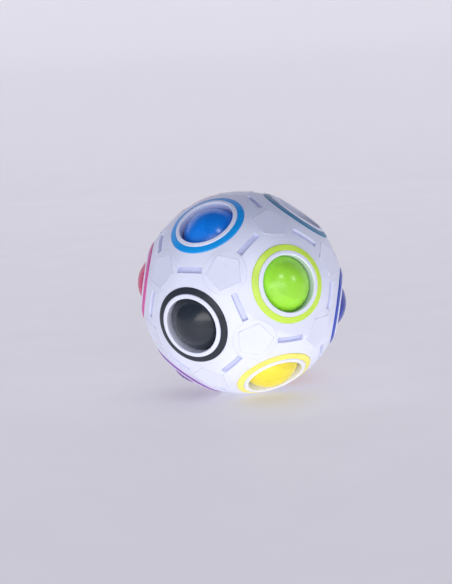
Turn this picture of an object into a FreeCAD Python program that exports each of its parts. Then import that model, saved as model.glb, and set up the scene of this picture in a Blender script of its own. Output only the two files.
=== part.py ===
import FreeCAD, Part
import math
import os
from FreeCAD import Vector

os.makedirs("parts", exist_ok=True)

# Rainbow ball puzzle: a hollow ball with twelve holes in icosahedral places,
# eleven loose balls in the holes, and one hole left empty.
# Origin at the centre of the ball. +Z is the middle of a three-hole junction,
# and the ball stands on the flat pentagon of the opposite junction.
# Millimetres throughout.

# ---------------------------------------------------------------- dimensions
R_OUT = 35.0            # outer radius of the shell
WALL = 2.0              # shell wall
R_IN = R_OUT - WALL

BALL_R = 10.75          # loose ball
BALL_D = 25.6           # ball centre from the centre of the puzzle, seated
SEAT_GAP = 0.12         # ball to collar seat

BORE_R = 9.6            # collar bore: smaller than the ball, so it stays in
COLLAR_R = 11.14        # collar tube outside
COLLAR_END = 27.7       # inner end of the collar, along the hole axis
RIM_R = 35.40           # sphere that the collar's rim follows
RIM_ROUND = 0.40        # rounding of the bore edge
FLANGE_R = 12.9         # collar flange, inside the shell
FLANGE_T = 1.0

RING_RI = 11.2          # coloured ring
RING_RO = 13.22
RING_Z_OUT = 32.68      # height of its outer top edge
RING_Z_IN = 33.5        # height of its inner top edge
RING_BOTTOM = 31.47
RING_SEAT = 31.45       # floor of the ring's recess
RECESS_R = 13.28

BOSS_R = 14.4           # flat seat inside the shell for the collar flange
BOSS_Z = 29.55

DISC_R = 7.42           # round disc at each three-hole junction
POCKET_R = 7.45
POCKET_SPHERE = 34.0    # floor of the disc's pocket
DISC_FLOOR = 34.03
PENTAGON_R = 6.3        # circumradius of the flat pentagon on the disc
PENTAGON_Z = 34.66      # its flat face
GROOVE_W = 0.14         # fine groove round the pentagon
GROOVE_DEPTH = 0.14

SLOT_L = 9.7            # slot on the line between two discs
SLOT_W = 2.15
SLOT_DEPTH = 1.25
SLOT_SLOPE = 0.2        # how far each side leans in

SEAM_GAP = 0.08         # joint between the half shells

CORE_R = 14.75          # soft core that presses the balls outward

# ---------------------------------------------------------------- directions
T1, T2 = 37.37737, 79.18768
HOLES = {
    "teal": (T1, 0), "blue": (T1, -120), "red": (T1, 120),
    "pink": (T2, 180), "green": (T2, -60), "grey": (T2, 60),
    "navy": (180 - T2, 0), "black": (180 - T2, -120), "forest": (180 - T2, 120),
    "purple": (180 - T1, 180), "yellow": (180 - T1, -60), "orange": (180 - T1, 60),
}
EMPTY = "teal"
POLE = "blue"           # middle hole of the upper half shell


def direction(theta, phi):
    t, p = math.radians(theta), math.radians(phi)
    return Vector(math.sin(t) * math.cos(p), math.sin(t) * math.sin(p), math.cos(t))


AXES = {name: direction(*angles) for name, angles in HOLES.items()}
NAMES = list(HOLES)


def near(a, b):
    return a.dot(b) > 0.3 and a.dot(b) < 0.9


def unit(v):
    w = Vector(v)
    w.normalize()
    return w


TRIPLES = [
    (a, b, c)
    for i, a in enumerate(NAMES)
    for j, b in enumerate(NAMES[i + 1:], i + 1)
    for c in NAMES[j + 1:]
    if near(AXES[a], AXES[b]) and near(AXES[b], AXES[c]) and near(AXES[a], AXES[c])
]
PAIRS = [
    (a, b) for i, a in enumerate(NAMES) for b in NAMES[i + 1:] if near(AXES[a], AXES[b])
]
JUNCTIONS = [(t, unit(AXES[t[0]] + AXES[t[1]] + AXES[t[2]])) for t in TRIPLES]
assert len(JUNCTIONS) == 20 and len(PAIRS) == 30


def place(shape, z_to, x_to=None):
    """Copy of a shape built about +Z, turned so that +Z points along z_to and +X along x_to."""
    z = unit(z_to)
    if x_to is None:
        x_to = Vector(0, 0, 1) if abs(z.z) < 0.9 else Vector(1, 0, 0)
    x = unit(x_to - z * x_to.dot(z))
    y = z.cross(x)
    m = FreeCAD.Matrix(
        x.x, y.x, z.x, 0,
        x.y, y.y, z.y, 0,
        x.z, y.z, z.z, 0,
        0, 0, 0, 1,
    )
    out = shape.copy()
    out.Placement = FreeCAD.Placement(m)
    return out


def revolved(points):
    """Solid of revolution about Z. points: (r, z) corners, or (r, z, "arc") for a mid point of an arc."""
    edges = []
    pts = points + [points[0]]
    i = 0
    while i < len(pts) - 1:
        a = Vector(pts[i][0], 0, pts[i][1])
        if len(pts[i + 1]) == 3:
            m = Vector(pts[i + 1][0], 0, pts[i + 1][1])
            b = Vector(pts[i + 2][0], 0, pts[i + 2][1])
            edges.append(Part.Arc(a, m, b).toShape())
            i += 2
        else:
            b = Vector(pts[i + 1][0], 0, pts[i + 1][1])
            edges.append(Part.LineSegment(a, b).toShape())
            i += 1
    face = Part.Face(Part.Wire(edges))
    solid = face.revolve(Vector(0, 0, 0), Vector(0, 0, 1), 360)
    if solid.Volume < 0:
        solid.reverse()
    return solid


def on_sphere(radius, r):
    return math.sqrt(radius * radius - r * r)


# ---------------------------------------------------------------- hole parts
def make_collar():
    seat_r = BALL_R + SEAT_GAP
    z_seat = BALL_D + math.sqrt(seat_r ** 2 - BORE_R ** 2)
    r_end = math.sqrt(seat_r ** 2 - (COLLAR_END - BALL_D) ** 2)
    mid_a = 0.5 * (math.asin(BORE_R / seat_r) + math.asin(r_end / seat_r))
    mid = (seat_r * math.sin(mid_a), BALL_D + seat_r * math.cos(mid_a), "arc")
    q = RIM_ROUND
    r_top = BORE_R + q
    z_top = on_sphere(RIM_R, r_top)
    k = q * (1 - math.sqrt(0.5))
    z_out = on_sphere(RIM_R, COLLAR_R)
    r_mid = 0.5 * (r_top + COLLAR_R - 0.15)
    flange_top = BOSS_Z - 0.03
    return revolved([
        (BORE_R, z_seat),
        (BORE_R, z_top - q),
        (BORE_R + k, z_top - k, "arc"),
        (r_top, z_top),
        (r_mid, on_sphere(RIM_R, r_mid), "arc"),
        (COLLAR_R - 0.15, on_sphere(RIM_R, COLLAR_R - 0.15)),
        (COLLAR_R, z_out - 0.15),
        (COLLAR_R, flange_top),
        (FLANGE_R, flange_top),
        (FLANGE_R, flange_top - FLANGE_T),
        (COLLAR_R + 0.2, flange_top - FLANGE_T),
        (COLLAR_R + 0.2, COLLAR_END),
        (r_end, COLLAR_END),
        mid,
    ])


def make_ring():
    c = 0.12
    slope = (RING_Z_IN - RING_Z_OUT) / (RING_RO - RING_RI)
    r_m = 0.5 * (RING_RI + RING_RO)
    return revolved([
        (RING_RI, RING_BOTTOM),
        (RING_RI, RING_Z_IN - c),
        (RING_RI + c, RING_Z_IN - slope * c),
        (r_m, 0.5 * (RING_Z_IN + RING_Z_OUT) + 0.04, "arc"),
        (RING_RO - c, RING_Z_OUT + slope * c),
        (RING_RO, RING_Z_OUT - c),
        (RING_RO, RING_BOTTOM),
    ])


def make_disc():
    body = Part.makeCylinder(DISC_R, 8, Vector(0, 0, 30))
    body = body.common(Part.makeSphere(R_OUT)).cut(Part.makeSphere(DISC_FLOOR))
    corners = [
        Vector(PENTAGON_R * math.cos(math.radians(72 * i)), PENTAGON_R * math.sin(math.radians(72 * i)), 0)
        for i in range(5)
    ]
    wire = Part.makePolygon(corners + [corners[0]])
    above = Part.Face(wire).extrude(Vector(0, 0, 10))
    above.translate(Vector(0, 0, PENTAGON_Z))
    fill = Part.Face(wire).extrude(Vector(0, 0, PENTAGON_Z - 34.3))
    fill.translate(Vector(0, 0, 34.3))
    grow = 1 + GROOVE_W / (PENTAGON_R * math.cos(math.radians(36)))
    outer = [c * grow for c in corners]
    groove = Part.Face(Part.makePolygon(outer + [outer[0]])).extrude(Vector(0, 0, 10))
    groove.translate(Vector(0, 0, 30))
    groove = groove.cut(Part.makeSphere(R_OUT - GROOVE_DEPTH))
    return body.cut(groove).cut(above).fuse(fill).removeSplitter()


# ---------------------------------------------------------------- shell
def make_shell():
    shell = Part.makeSphere(R_OUT).cut(Part.makeSphere(R_IN))
    boss = Part.makeCylinder(BOSS_R, 6, Vector(0, 0, BOSS_Z)).common(Part.makeSphere(R_OUT - 0.6))
    for axis in AXES.values():
        shell = shell.fuse(place(boss, axis))
    cuts = []
    hole = Part.makeCylinder(COLLAR_R + 0.06, 20, Vector(0, 0, 25)).fuse(
        Part.makeCylinder(RECESS_R, 6, Vector(0, 0, RING_SEAT)))
    for axis in AXES.values():
        cuts.append(place(hole, axis))
    pocket = Part.makeCylinder(POCKET_R, 8, Vector(0, 0, 30)).cut(Part.makeSphere(POCKET_SPHERE))
    for _, axis in JUNCTIONS:
        cuts.append(place(pocket, axis))

    # The slot's floor follows the ball, and its long sides lean in.
    rise = 0.6
    floor = SLOT_W / 2 - SLOT_SLOPE
    lip = SLOT_W / 2 + SLOT_SLOPE * rise / SLOT_DEPTH
    half = math.degrees(math.asin(SLOT_L / 2 / R_OUT))
    section = Part.Face(Part.makePolygon([
        Vector(0, -floor, R_OUT - SLOT_DEPTH), Vector(0, floor, R_OUT - SLOT_DEPTH),
        Vector(0, lip, R_OUT + rise), Vector(0, -lip, R_OUT + rise),
        Vector(0, -floor, R_OUT - SLOT_DEPTH)]))
    section.rotate(Vector(0, 0, 0), Vector(0, 1, 0), -half)
    slot = section.revolve(Vector(0, 0, 0), Vector(0, 1, 0), 2 * half)
    for a, b in PAIRS:
        mid = unit(AXES[a] + AXES[b])
        along = unit(AXES[a].cross(AXES[b]))
        cuts.append(place(slot, mid, along))
    for c in cuts:
        shell = shell.cut(c)
    return shell


UPPER = [n for n in NAMES if n == POLE or near(AXES[n], AXES[POLE])]
SEAM_PAIRS = [(a, b) for a, b in PAIRS if (a in UPPER) != (b in UPPER)]
assert len(SEAM_PAIRS) == 10


def seam_plate(a, b):
    """Thin plate through the centre, along the line between two junctions, under one slot."""
    ends = [v for t, v in JUNCTIONS if a in t and b in t]
    v1, v2 = ends
    mid = unit(v1 + v2)
    along = unit(v2 - v1)
    normal = mid.cross(along)
    half = 0.5 * SEAM_GAP
    extra = 0.05
    p1 = v1 * 45 - along * extra
    p2 = v2 * 45 + along * extra
    q1 = v1 * 25 - along * extra
    q2 = v2 * 25 + along * extra
    pts = [p + normal * (-half) for p in (q1, q2, p2, p1)]
    return Part.Face(Part.makePolygon(pts + [pts[0]])).extrude(normal * SEAM_GAP)


def clip_tab(a, b, own_upper):
    """Tab fixed inside one half shell, lapping under the other across the joint."""
    mid = unit(AXES[a] + AXES[b])
    own = a if (a in UPPER) == own_upper else b
    side = unit(AXES[own] - mid * AXES[own].dot(mid))
    lap = Part.makeBox(5.0, 3.8, 1.1, Vector(-2.5, -1.9, 31.35))
    root = Part.makeBox(5.0, 1.6, 1.3, Vector(-2.5, 0.3, 32.3))
    tab = lap.fuse(root).removeSplitter()
    # local +Y is the side of the half shell that carries the tab
    return place(tab, mid, side.cross(mid))


print("building shell")
shell = make_shell()
for pair in SEAM_PAIRS:
    shell = shell.cut(seam_plate(*pair))
halves = sorted(shell.Solids, key=lambda s: s.CenterOfMass.dot(AXES[POLE]))
assert len(halves) == 2, len(halves)
lower, upper = halves


def ordered(pairs):
    """Seam pairs in order round the pole axis, so that the tabs alternate."""
    z = AXES[POLE]
    x = unit(Vector(1, 0, 0) - z * z.x)
    y = z.cross(x)
    def angle(p):
        m = AXES[p[0]] + AXES[p[1]]
        return math.atan2(m.dot(y), m.dot(x))
    return sorted(pairs, key=angle)


for i, pair in enumerate(ordered(SEAM_PAIRS)):
    tab = clip_tab(*pair, own_upper=(i % 2 == 0))
    if i % 2 == 0:
        upper = upper.fuse(tab)
    else:
        lower = lower.fuse(tab)

parts = {"upper_shell": upper.removeSplitter(), "lower_shell": lower.removeSplitter()}

collar, ring, disc = make_collar(), make_ring(), make_disc()
for name, axis in AXES.items():
    parts["collar_" + name] = place(collar, axis)
    parts["ring_" + name] = place(ring, axis)
    if name != EMPTY:
        parts["ball_" + name] = Part.makeSphere(BALL_R, axis * BALL_D)

for triple, axis in JUNCTIONS:
    pole = AXES[POLE] if axis.dot(AXES[POLE]) > 0 else AXES[POLE] * -1
    toward = pole if axis.dot(pole) > 0.5 else pole * -1
    parts["disc_" + "_".join(triple)] = place(disc, axis, toward)

parts["core"] = Part.makeSphere(CORE_R)

for name, shape in parts.items():
    solids = shape.Solids
    shape = solids[0] if len(solids) == 1 else shape
    assert shape.isValid() and len(solids) == 1, (name, len(solids))
    shape.exportStep("parts/" + name + ".step")
print(len(parts), "nodes")
print("upper", round(upper.Volume), "lower", round(lower.Volume), "collar", round(collar.Volume),
      "ring", round(ring.Volume), "disc", round(disc.Volume))
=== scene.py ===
import bpy
import math
from mathutils import Matrix, Vector


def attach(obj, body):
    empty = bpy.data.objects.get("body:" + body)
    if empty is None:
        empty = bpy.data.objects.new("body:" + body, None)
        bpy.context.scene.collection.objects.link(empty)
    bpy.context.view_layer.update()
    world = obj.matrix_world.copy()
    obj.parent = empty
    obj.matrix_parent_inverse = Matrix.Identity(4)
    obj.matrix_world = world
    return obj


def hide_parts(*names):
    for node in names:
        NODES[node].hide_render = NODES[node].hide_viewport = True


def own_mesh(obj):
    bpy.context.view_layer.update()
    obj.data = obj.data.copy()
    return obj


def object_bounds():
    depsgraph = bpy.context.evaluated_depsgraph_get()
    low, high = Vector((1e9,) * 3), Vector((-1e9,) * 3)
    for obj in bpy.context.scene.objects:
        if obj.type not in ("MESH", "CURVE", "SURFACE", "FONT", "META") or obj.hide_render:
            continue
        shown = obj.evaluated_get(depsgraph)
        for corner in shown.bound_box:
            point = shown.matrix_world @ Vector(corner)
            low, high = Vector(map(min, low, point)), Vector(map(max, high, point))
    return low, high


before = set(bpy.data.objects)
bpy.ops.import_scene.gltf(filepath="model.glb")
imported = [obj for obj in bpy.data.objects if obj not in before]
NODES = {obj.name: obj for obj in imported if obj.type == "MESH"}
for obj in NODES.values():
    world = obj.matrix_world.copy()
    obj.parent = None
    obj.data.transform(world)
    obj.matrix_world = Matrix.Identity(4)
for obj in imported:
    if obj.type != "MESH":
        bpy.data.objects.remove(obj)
lo0, hi0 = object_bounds()
R = 0.035  # outer radius of the shell


# ------------------------------------------------------------------ node helpers
class Mat:
    """A small builder for node materials."""

    def __init__(self, name):
        self.m = bpy.data.materials.new(name)
        self.m.use_nodes = True
        self.t = self.m.node_tree
        self.t.nodes.clear()
        self.out = self.t.nodes.new("ShaderNodeOutputMaterial")
        self.b = self.t.nodes.new("ShaderNodeBsdfPrincipled")
        self.t.links.new(self.b.outputs["BSDF"], self.out.inputs["Surface"])
        self.co = self.t.nodes.new("ShaderNodeTexCoord").outputs["Object"]

    def set(self, **values):
        for k, v in values.items():
            self.b.inputs[k.replace("_", " ")].default_value = v

    def noise(self, scale, detail=3.0, rough=0.5, distortion=0.0, co=None):
        n = self.t.nodes.new("ShaderNodeTexNoise")
        n.inputs["Scale"].default_value = scale
        n.inputs["Detail"].default_value = detail
        n.inputs["Roughness"].default_value = rough
        n.inputs["Distortion"].default_value = distortion
        self.t.links.new(co or self.co, n.inputs["Vector"])
        return n.outputs["Fac"]

    def voronoi(self, scale, feature="F1"):
        n = self.t.nodes.new("ShaderNodeTexVoronoi")
        n.feature = feature
        n.inputs["Scale"].default_value = scale
        self.t.links.new(self.co, n.inputs["Vector"])
        return n.outputs["Distance"]

    def ramp(self, fac, stops, interp="LINEAR"):
        n = self.t.nodes.new("ShaderNodeValToRGB")
        n.color_ramp.interpolation = interp
        els = n.color_ramp.elements
        while len(els) < len(stops):
            els.new(0.5)
        for e, (p, c) in zip(els, stops):
            e.position = p
            e.color = (*c, 1.0) if len(c) == 3 else c
        self.t.links.new(fac, n.inputs["Fac"])
        return n.outputs["Color"]

    def span(self, fac, lo, hi, a=0.3, b=0.7):
        n = self.t.nodes.new("ShaderNodeMapRange")
        n.inputs["From Min"].default_value = a
        n.inputs["From Max"].default_value = b
        n.inputs["To Min"].default_value = lo
        n.inputs["To Max"].default_value = hi
        self.t.links.new(fac, n.inputs["Value"])
        return n.outputs["Result"]

    def math(self, op, a, b):
        n = self.t.nodes.new("ShaderNodeMath")
        n.operation = op
        for i, v in enumerate((a, b)):
            if isinstance(v, (int, float)):
                n.inputs[i].default_value = v
            else:
                self.t.links.new(v, n.inputs[i])
        return n.outputs["Value"]

    def mix(self, fac, a, b, mode="MIX"):
        n = self.t.nodes.new("ShaderNodeMix")
        n.data_type = "RGBA"
        n.blend_type = mode
        for sock, v in ((n.inputs["Factor"], fac), (n.inputs[6], a), (n.inputs[7], b)):
            if isinstance(v, (int, float)):
                sock.default_value = v
            elif isinstance(v, tuple):
                sock.default_value = (*v, 1.0)
            else:
                self.t.links.new(v, sock)
        return n.outputs[2]

    def bump(self, height, strength, distance):
        n = self.t.nodes.new("ShaderNodeBump")
        n.inputs["Strength"].default_value = strength
        n.inputs["Distance"].default_value = distance
        self.t.links.new(height, n.inputs["Height"])
        return n.outputs["Normal"]

    def link(self, value, socket):
        self.t.links.new(value, self.b.inputs[socket])


def shade(c, k):
    return tuple(min(1.0, x * k) for x in c)


def srgb(r, g, b):
    def f(v):
        v /= 255.0
        return v / 12.92 if v <= 0.04045 else ((v + 0.055) / 1.055) ** 2.4
    return (f(r), f(g), f(b))


def shell_plastic(name, base, recess):
    """White moulded plastic: faint mottle, satin gloss that varies, fine handling marks.
    recess: radius where the painted shade of a recess (a darker, bluer colour standing in for the shade in
    slots, disc pockets and bores) begins, where it is full, and how full."""
    m = Mat(name)
    broad = m.noise(55, 3, 0.55)
    col = m.ramp(broad, [(0.30, shade(base, 0.955)), (0.55, base), (0.75, shade(base, 1.02))])
    grime = m.noise(160, 6, 0.62, 0.4)
    spot = m.span(grime, 0.0, 0.10, 0.60, 0.78)
    col = m.mix(spot, col, shade(base, 0.80))
    top, deep, amount = recess
    # Painted shade: the deeper the surface lies below the outer sphere, the darker and bluer its colour,
    # standing in for the shade that falls in recesses.
    away = m.t.nodes.new("ShaderNodeVectorMath")
    away.operation = "LENGTH"
    m.t.links.new(m.co, away.inputs[0])
    painted_recess_shade = m.span(away.outputs["Value"], amount, 0.0, deep, top)
    col = m.mix(painted_recess_shade, col, (base[0] * 0.62, base[1] * 0.64, base[2] * 0.84))
    m.link(col, "Base Color")
    m.link(m.span(m.noise(240, 4, 0.6), 0.27, 0.40), "Roughness")
    fine = m.noise(1500, 2, 0.5)
    wide = m.noise(90, 2, 0.5)
    h = m.math("ADD", m.math("MULTIPLY", fine, 0.35), m.math("MULTIPLY", wide, 1.0))
    m.link(m.bump(h, 0.06, 0.0002), "Normal")
    m.set(IOR=1.49)
    m.b.inputs["Subsurface Weight"].default_value = 0.12
    m.b.inputs["Subsurface Radius"].default_value = (1.0, 0.9, 0.8)
    m.b.inputs["Subsurface Scale"].default_value = 0.0012
    return m.m


def ring_plastic(name, base):
    m = Mat(name)
    broad = m.noise(130, 3, 0.5)
    col = m.ramp(broad, [(0.30, shade(base, 0.90)), (0.55, base), (0.78, shade(base, 1.07))])
    speck = m.span(m.noise(900, 3, 0.6), 0.0, 0.12, 0.62, 0.80)
    col = m.mix(speck, col, shade(base, 0.72))
    m.link(col, "Base Color")
    m.link(m.span(m.noise(420, 4, 0.6), 0.26, 0.42), "Roughness")
    m.link(m.bump(m.noise(1800, 3, 0.55), 0.05, 0.00015), "Normal")
    m.set(IOR=1.50)
    return m.m


def ball_plastic(name, base, deep=None):
    """Polished ball: slight swirl in the colour, light scuffs from being pushed from hole to hole."""
    m = Mat(name)
    deep = deep or shade(base, 0.86)
    swirl = m.noise(70, 4, 0.55, 0.8)
    col = m.ramp(swirl, [(0.30, deep), (0.58, base), (0.80, shade(base, 1.06))])
    scuff = m.noise(650, 6, 0.68, 1.4)
    mark = m.span(scuff, 0.0, 1.0, 0.66, 0.78)
    col = m.mix(m.math("MULTIPLY", mark, 0.06), col, tuple(0.5 * x + 0.35 for x in base))
    m.link(col, "Base Color")
    r = m.math("ADD", m.span(m.noise(200, 3, 0.55), 0.22, 0.34), m.math("MULTIPLY", mark, 0.18))
    m.link(r, "Roughness")
    m.link(m.bump(m.math("ADD", m.noise(120, 2, 0.5), m.math("MULTIPLY", mark, 0.15)), 0.03, 0.00012), "Normal")
    m.set(IOR=1.48)
    m.b.inputs["Coat Weight"].default_value = 0.26
    m.b.inputs["Coat Roughness"].default_value = 0.16
    return m.m


def foam(name, base):
    m = Mat(name)
    cells = m.voronoi(1400)
    col = m.ramp(cells, [(0.05, shade(base, 0.45)), (0.35, base), (0.75, shade(base, 1.25))])
    m.link(col, "Base Color")
    m.link(m.span(m.noise(300, 3, 0.5), 0.82, 0.95), "Roughness")
    h = m.math("SUBTRACT", m.math("MULTIPLY", m.noise(260, 3, 0.5), 0.6), m.math("MULTIPLY", cells, -1.0))
    m.link(m.bump(h, 0.6, 0.0005), "Normal")
    return m.m


# ------------------------------------------------------------------ colours
RING = {
    "teal": srgb(22, 118, 158), "blue": srgb(14, 154, 234), "red": srgb(205, 30, 38),
    "pink": srgb(214, 72, 158), "green": srgb(212, 246, 86), "grey": srgb(150, 152, 158),
    "navy": srgb(30, 66, 178), "black": srgb(36, 42, 50), "forest": srgb(20, 120, 62),
    "purple": srgb(146, 92, 182), "yellow": srgb(250, 240, 118), "orange": srgb(244, 128, 28),
}
BALL = {
    "blue": srgb(6, 124, 228), "red": srgb(200, 24, 34), "pink": srgb(210, 56, 112),
    "green": srgb(164, 238, 60), "grey": srgb(140, 142, 148), "navy": srgb(26, 52, 160),
    "black": srgb(36, 42, 50), "forest": srgb(14, 104, 52), "purple": srgb(126, 70, 168),
    "yellow": srgb(252, 234, 70), "orange": srgb(242, 112, 18),
}
WHITE = srgb(226, 229, 246)

# The last argument sets the painted shade in recesses: the radius where it begins, where it is full, and how
# strong it is. The collar's reaches down its bore.
white = shell_plastic("shell_plastic", WHITE, (0.0348, 0.0340, 0.48))
white_disc = shell_plastic("disc_plastic", shade(WHITE, 0.995), (0.0346, 0.0342, 0.6))
white_collar = shell_plastic("collar_plastic", shade(WHITE, 1.01), (0.0346, 0.0300, 0.55))
ring_mats = {k: ring_plastic("ring_plastic_" + k, v) for k, v in RING.items()}
ball_mats = {k: ball_plastic("ball_plastic_" + k, v) for k, v in BALL.items()}
core_mat = foam("core_foam_rubber", srgb(112, 114, 122))


def dress(obj, material):
    if not obj.data.materials:
        obj.data.materials.append(material)
    for i in range(len(obj.data.materials)):
        obj.data.materials[i] = material
    for s in obj.material_slots:
        s.material = material


for name, obj in NODES.items():
    kind, _, which = name.partition("_")
    if kind == "ring":
        dress(obj, ring_mats[which])
    elif kind == "ball":
        dress(obj, ball_mats[which])
    elif kind == "collar":
        dress(obj, white_collar)
    elif kind == "disc":
        dress(obj, white_disc)
    elif kind == "core":
        continue  # the foam pads below stand for it
    else:
        dress(obj, white)

# ------------------------------------------------------------------ soft core
T1, T2 = 37.37737, 79.18768
HOLES = {
    "teal": (T1, 0), "blue": (T1, -120), "red": (T1, 120),
    "pink": (T2, 180), "green": (T2, -60), "grey": (T2, 60),
    "navy": (180 - T2, 0), "black": (180 - T2, -120), "forest": (180 - T2, 120),
    "purple": (180 - T1, 180), "yellow": (180 - T1, -60), "orange": (180 - T1, 60),
}


def direction(theta, phi):
    t, p = math.radians(theta), math.radians(phi)
    return Vector((math.sin(t) * math.cos(p), math.sin(t) * math.sin(p), math.cos(t)))


AXES = {k: direction(*v) for k, v in HOLES.items()}
CORE_OUT = 0.0147    # crown of a pad, just under the ball above it
CORE_IN = 0.0086


def corners_round(name):
    """The five junctions round a hole, in order."""
    axis = AXES[name]
    near = [v for k, v in AXES.items() if 0.3 < v.dot(axis) < 0.9]
    x = (near[0] - axis * near[0].dot(axis)).normalized()
    y = axis.cross(x)
    near.sort(key=lambda v: math.atan2(v.dot(y), v.dot(x)))
    return [(axis + a + b).normalized() for a, b in zip(near, near[1:] + near[:1])]


def foam_pad(name, n=16):
    """Five-sided foam pad of the core under one hole: crowned, with rounded edges and a
    fine seam to its neighbours."""
    import bmesh
    axis, ring = AXES[name], corners_round(name)
    ring = [(axis * 0.028 + c * 0.972).normalized() for c in ring]
    bm = bmesh.new()
    made = {}

    def vert(layer, p, radius):
        key = (layer, round(p.x, 6), round(p.y, 6), round(p.z, 6))
        if key not in made:
            made[key] = bm.verts.new(p * radius)
        return made[key]

    def crown(e):
        return CORE_OUT - 0.0011 * max(0.0, (e - 0.62) / 0.38) ** 2.2

    walls = [crown(1.0), 0.0127, 0.0117, 0.0106, 0.0096, CORE_IN]
    for k in range(5):
        a, b = ring[k], ring[(k + 1) % 5]

        def at(i, j):
            return (axis * (1 - i / n) + a * ((i - j) / n) + b * (j / n)).normalized()

        for layer in ("top", "under"):
            def v(i, j):
                return vert(layer, at(i, j), crown(i / n) if layer == "top" else CORE_IN)

            for i in range(n):
                for j in range(i + 1):
                    bm.faces.new((v(i, j), v(i + 1, j), v(i + 1, j + 1)))
                    if j < i:
                        bm.faces.new((v(i, j), v(i + 1, j + 1), v(i, j + 1)))
        last = len(walls) - 1

        def w(step, j):
            layer = "top" if step == 0 else "under" if step == last else "wall%d" % step
            return vert(layer, at(n, j), walls[step])

        for j in range(n):
            for s0 in range(last):
                bm.faces.new((w(s0, j), w(s0 + 1, j), w(s0 + 1, j + 1), w(s0, j + 1)))
    bmesh.ops.recalc_face_normals(bm, faces=bm.faces)
    me = bpy.data.meshes.new("core_pad_" + name)
    bm.to_mesh(me)
    bm.free()
    for p in me.polygons:
        p.use_smooth = True
    o = bpy.data.objects.new("core_pad_" + name, me)
    bpy.context.scene.collection.objects.link(o)
    o.data.materials.append(core_mat)
    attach(o, "shell")
    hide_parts("core")
    if name not in ("teal", "green"):
        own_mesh(o)


for hole in HOLES:
    foam_pad(hole)

# ------------------------------------------------------------------ stage
floor_z = lo0.z


def cyclorama():
    import bmesh
    bm = bmesh.new()
    radius, back, height, front, wide = 0.30, 0.75, 1.6, -1.6, 2.2
    line = [(front, floor_z), (-0.4, floor_z), (0.2, floor_z), (back, floor_z)]
    for i in range(1, 17):
        a = math.radians(90 * i / 16)
        line.append((back + radius * math.sin(a), floor_z + radius * (1 - math.cos(a))))
    line.append((back + radius, floor_z + height))
    rows = [[bm.verts.new((x, y, z)) for x in (-wide, wide)] for y, z in line]
    for a, b in zip(rows, rows[1:]):
        bm.faces.new((a[0], a[1], b[1], b[0]))
    me = bpy.data.meshes.new("stage_floor")
    bm.to_mesh(me)
    bm.free()
    for p in me.polygons:
        p.use_smooth = True
    o = bpy.data.objects.new("stage_floor", me)
    bpy.context.scene.collection.objects.link(o)
    m = Mat("stage_paper")
    base = srgb(172, 170, 176)
    m.link(m.ramp(m.noise(6, 4, 0.5), [(0.3, shade(base, 0.985)), (0.7, shade(base, 1.01))]), "Base Color")
    m.link(m.span(m.noise(40, 3, 0.5), 0.62, 0.74), "Roughness")
    m.set(Emission_Color=(*srgb(222, 219, 226), 1.0), Emission_Strength=0.44)
    o.data.materials.append(m.m)
    o.visible_shadow = False
    return o


def surround(paper):
    """Pale round wall far behind the open sides of the stage. It is only a background: it lights nothing."""
    import bmesh
    bm = bmesh.new()
    z0, around = floor_z - 0.0004, 96
    line = [(1.0, z0), (2.2, z0), (2.8, z0)]
    for i in range(1, 13):
        a = math.radians(90 * i / 12)
        line.append((2.8 + 0.6 * math.sin(a), z0 + 0.6 * (1 - math.cos(a))))
    line.append((3.4, z0 + 2.4))
    rows = []
    for r, z in line:
        rows.append([bm.verts.new((r * math.cos(math.tau * k / around), r * math.sin(math.tau * k / around), z))
                     for k in range(around)])
    for a, b in zip(rows, rows[1:]):
        for k in range(around):
            bm.faces.new((a[k], b[k], b[(k + 1) % around], a[(k + 1) % around]))
    me = bpy.data.meshes.new("stage_wall")
    bm.to_mesh(me)
    bm.free()
    for p in me.polygons:
        p.use_smooth = True
    o = bpy.data.objects.new("stage_wall", me)
    bpy.context.scene.collection.objects.link(o)
    o.data.materials.append(paper)
    o.visible_shadow = o.visible_diffuse = o.visible_glossy = o.visible_transmission = False
    return o


stage = cyclorama()
wall = surround(stage.data.materials[0])

# ------------------------------------------------------------------ camera
# Row axes as the camera sees them: x to the right, y up, z towards the camera.
SEEN_Z = Vector((-0.0552, 0.9884, 0.1414)).normalized()
NAVY = Vector((0.9906, -0.1360, 0.0109))
SEEN_X = (NAVY - SEEN_Z * NAVY.dot(SEEN_Z)).normalized()
SEEN_Y = SEEN_Z.cross(SEEN_X)
CENTRE = Vector((0.15795, -0.00399, -19.3248)) * R
TO_CAM = Matrix((
    (SEEN_X.x, SEEN_Y.x, SEEN_Z.x),
    (SEEN_X.y, SEEN_Y.y, SEEN_Z.y),
    (SEEN_X.z, SEEN_Y.z, SEEN_Z.z),
))
TO_ROW = TO_CAM.transposed()

cam_data = bpy.data.cameras.new("camera")
cam = bpy.data.objects.new("camera", cam_data)
bpy.context.scene.collection.objects.link(cam)
cam.matrix_world = Matrix.Translation(TO_ROW @ -CENTRE) @ TO_ROW.to_4x4()
cam_data.sensor_width = 36.0
cam_data.lens = 1949.6 * 36.0 / 584.0
cam_data.clip_start, cam_data.clip_end = 0.01, 20.0
bpy.context.scene.camera = cam


# ------------------------------------------------------------------ light
def area(name, seen, distance, size, power, colour, aim=(0, 0, 0), soft=False, glint=False):
    """Area light in the direction `seen`, in camera terms, aimed at a point of the object.
    A soft one lights the object but leaves no mirror image of itself in the gloss,
    and a glint is only that mirror image."""
    data = bpy.data.lights.new(name, "AREA")
    data.shape = "RECTANGLE"
    data.size, data.size_y = size
    data.energy = power
    data.color = colour
    o = bpy.data.objects.new(name, data)
    bpy.context.scene.collection.objects.link(o)
    d = (TO_ROW @ Vector(seen)).normalized()
    target = Vector(aim)
    o.location = target + d * distance
    o.rotation_mode = "QUATERNION"
    o.rotation_quaternion = d.to_track_quat("Z", "Y")
    o.visible_camera = False
    if soft:
        o.visible_glossy = False
    if glint:
        o.visible_diffuse = False
    return o


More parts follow.
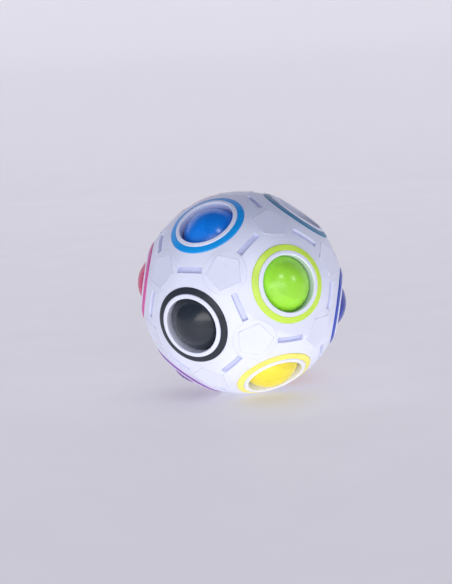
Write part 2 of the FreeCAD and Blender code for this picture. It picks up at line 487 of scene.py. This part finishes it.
def sun(name, seen, strength, colour, angle, gloss=False):
    """Broad even light from the direction `seen`, in camera terms."""
    data = bpy.data.lights.new(name, "SUN")
    data.energy = strength
    data.color = colour
    data.angle = math.radians(angle)
    o = bpy.data.objects.new(name, data)
    bpy.context.scene.collection.objects.link(o)
    o.rotation_mode = "QUATERNION"
    o.rotation_quaternion = (TO_ROW @ Vector(seen)).normalized().to_track_quat("Z", "Y")
    o.visible_glossy = gloss
    return o


area("key_front", (0.22, 0.53, 0.82), 0.9, (0.17, 0.17), 0.95, (1.0, 0.99, 0.95), glint=True)
area("side_right", (0.83, 0.36, 0.43), 0.9, (0.15, 0.17), 0.80, (1.0, 0.99, 0.95), glint=True)
sun("low_window", (0.02, -0.31, 0.95), 2.72, (1.0, 0.99, 0.96), 70, gloss=True)
sun("right_window", (0.82, -0.50, 0.10), 1.0, (1.0, 0.99, 0.96), 60)
sun("left_window", (-0.92, -0.05, 0.30), 0.55, (0.97, 0.98, 1.0), 60)
sun("back_fill", (0.10, 0.0, -0.98), 1.0, (1.0, 0.99, 0.96), 50)


def soft_room(front, near, far, roof):
    """Room light as a broad white window in the direction `front`, dimmer behind and overhead."""
    world = bpy.data.worlds.new("soft_room")
    world.use_nodes = True
    t = world.node_tree
    bg = t.nodes["Background"]
    co = t.nodes.new("ShaderNodeTexCoord").outputs["Generated"]

    def dot(v):
        n = t.nodes.new("ShaderNodeVectorMath")
        n.operation = "DOT_PRODUCT"
        n.inputs[1].default_value = v
        t.links.new(co, n.inputs[0])
        return n.outputs["Value"]

    def smooth(value, a, b, lo, hi):
        n = t.nodes.new("ShaderNodeMapRange")
        n.interpolation_type = "SMOOTHSTEP"
        for k, v in (("From Min", a), ("From Max", b), ("To Min", lo), ("To Max", hi)):
            n.inputs[k].default_value = v
        t.links.new(value, n.inputs["Value"])
        return n.outputs["Result"]

    d = (TO_ROW @ Vector(front)).normalized()
    window = smooth(dot(tuple(d)), -0.35, 0.75, 0.0, 1.0)
    low = smooth(dot((0.0, 0.0, 1.0)), 0.15, 0.75, 1.0, roof)
    n = t.nodes.new("ShaderNodeMath")
    n.operation = "MULTIPLY"
    t.links.new(window, n.inputs[0])
    t.links.new(low, n.inputs[1])
    mix = t.nodes.new("ShaderNodeMix")
    mix.data_type = "RGBA"
    t.links.new(n.outputs["Value"], mix.inputs["Factor"])
    mix.inputs[6].default_value = (*far, 1.0)
    mix.inputs[7].default_value = (*near, 1.0)
    t.links.new(mix.outputs[2], bg.inputs["Color"])
    bg.inputs["Strength"].default_value = 1.0
    bpy.context.scene.world = world


# A light from above that only the floor receives, so that the ball shades it.
above = sun("floor_light", (0.05, 0.97, 0.22), 1.0, (1.0, 0.99, 0.98), 60)
only_floor = bpy.data.collections.new("only_floor")
only_floor.objects.link(stage)
only_floor.objects.link(wall)
above.light_linking.receiver_collection = only_floor
soft_room((0.0, -0.10, 0.99), (0.16, 0.19, 0.34), (0.05, 0.065, 0.14), 0.15)
bpy.context.scene.view_settings.view_transform = "Standard"
